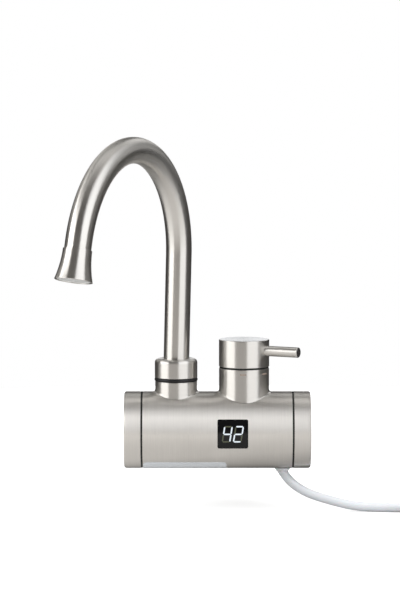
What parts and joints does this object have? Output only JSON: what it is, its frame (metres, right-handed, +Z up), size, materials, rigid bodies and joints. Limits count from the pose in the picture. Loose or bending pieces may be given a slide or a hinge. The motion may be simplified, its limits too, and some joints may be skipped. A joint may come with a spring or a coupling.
{
  "type": "electric instant water heater tap",
  "caption": "Wall-mounted steel tap with a heater in its horizontal body, a swivelling arched spout, a side-lever knob, a lit temperature window and a white mains lead.",
  "frame": {"origin": "on the inlet thread's axis, in the plane of the wall that the rosette rests on", "axes": "+Y along the inlet thread into the wall, +X to the right as seen from the front, +Z up; the body's axis is parallel to X"},
  "size_m": [0.3766, 0.2463, 0.2951],
  "materials": {
    "steel": "brushed",
    "black_rubber": "matte",
    "black_plastic": "satin",
    "screw_steel": "machined",
    "mark_paint": "printed",
    "window_plastic": "polished",
    "lit_segment": "lit",
    "dark_segment": "unlit",
    "circuit_board": "solder mask",
    "label_film": "satin",
    "brass": "machined",
    "filter_plastic": "moulded",
    "ceramic": "lapped",
    "cartridge_plastic": "moulded",
    "vessel_steel": "drawn",
    "red_silicone": "moulded",
    "element_steel": "annealed",
    "magnet": "moulded",
    "switch_plastic": "moulded",
    "relay_plastic": "moulded",
    "terminal_plastic": "moulded",
    "lead_sleeve": "extruded",
    "gland_plastic": "moulded",
    "cord_sheath": "extruded",
    "tie_plastic": "moulded",
    "plug_plastic": "moulded",
    "pin_metal": "nickel plated",
    "aerator_plastic": "moulded"
  },
  "bodies": {
    "root": {"body_shell": "steel", "left_end_cap": "steel", "right_end_cap": "steel", "seal_rings": "black_rubber", "spout_neck": "steel", "friction_ring": "black_plastic", "neck_grub_screw": "screw_steel", "valve_boss": "steel", "gap_ring": "black_rubber", "hot_mark": "mark_paint", "display_window": "window_plastic", "digits_lit": "lit_segment", "digits_unlit": "dark_segment", "display_module": "black_plastic", "display_board": "circuit_board", "blank_label": "label_film", "inlet_shank": "brass", "wall_rosette": "steel", "wall_gasket": "black_rubber", "inlet_filter": "filter_plastic", "valve_body": "brass", "fixed_disc": "ceramic", "cartridge_sleeve": "cartridge_plastic", "cartridge_nut": "brass", "stem_o_ring": "black_rubber", "heating_vessel": "vessel_steel", "vessel_lid": "vessel_steel", "vessel_seal": "red_silicone", "heating_element": "element_steel", "terminal_seals": "red_silicone", "flow_pipe": "brass", "reed_switch": "switch_plastic", "thermal_cutout": "black_plastic", "control_board": "circuit_board", "board_cradle": "black_plastic", "relay": "relay_plastic", "triac": "switch_plastic", "terminal_block": "terminal_plastic", "inner_leads": "lead_sleeve", "cord_gland": "gland_plastic", "cord": "cord_sheath", "cord_coil": "cord_sheath", "cord_tail": "cord_sheath", "cord_tie": "tie_plastic", "plug_body": "plug_plastic", "plug_pins": "pin_metal", "plug_earth_clips": "pin_metal"},
    "spout": {"spout_tube": "steel", "spout_collar": "steel", "spout_spigot": "brass", "spigot_o_rings": "black_rubber", "nozzle": "steel", "aerator": "aerator_plastic", "aerator_seal": "black_rubber"},
    "knob": {"knob": "steel", "lever_pin": "steel", "knob_grub_screw": "screw_steel", "valve_stem": "brass", "moving_disc": "ceramic"},
    "flow_piston": {"flow_piston": "magnet"}
  },
  "joints": [
    {"name": "spout_swivel", "type": "hinge", "parent": "root", "child": "spout", "pos_m": [-0.0529, -0.062, 0], "axis": [0, 0, 1], "continuous": true},
    {"name": "knob_turn", "type": "hinge", "parent": "root", "child": "knob", "pos_m": [0, -0.062, 0], "axis": [0, 0, 1], "range_deg": [-127, 3]},
    {"name": "flow_piston_slide", "type": "slide", "parent": "root", "child": "flow_piston", "axis": [-1, 0, 0], "range_m": [0, 0.003], "stiffness_N_per_m": 30}
  ]
}
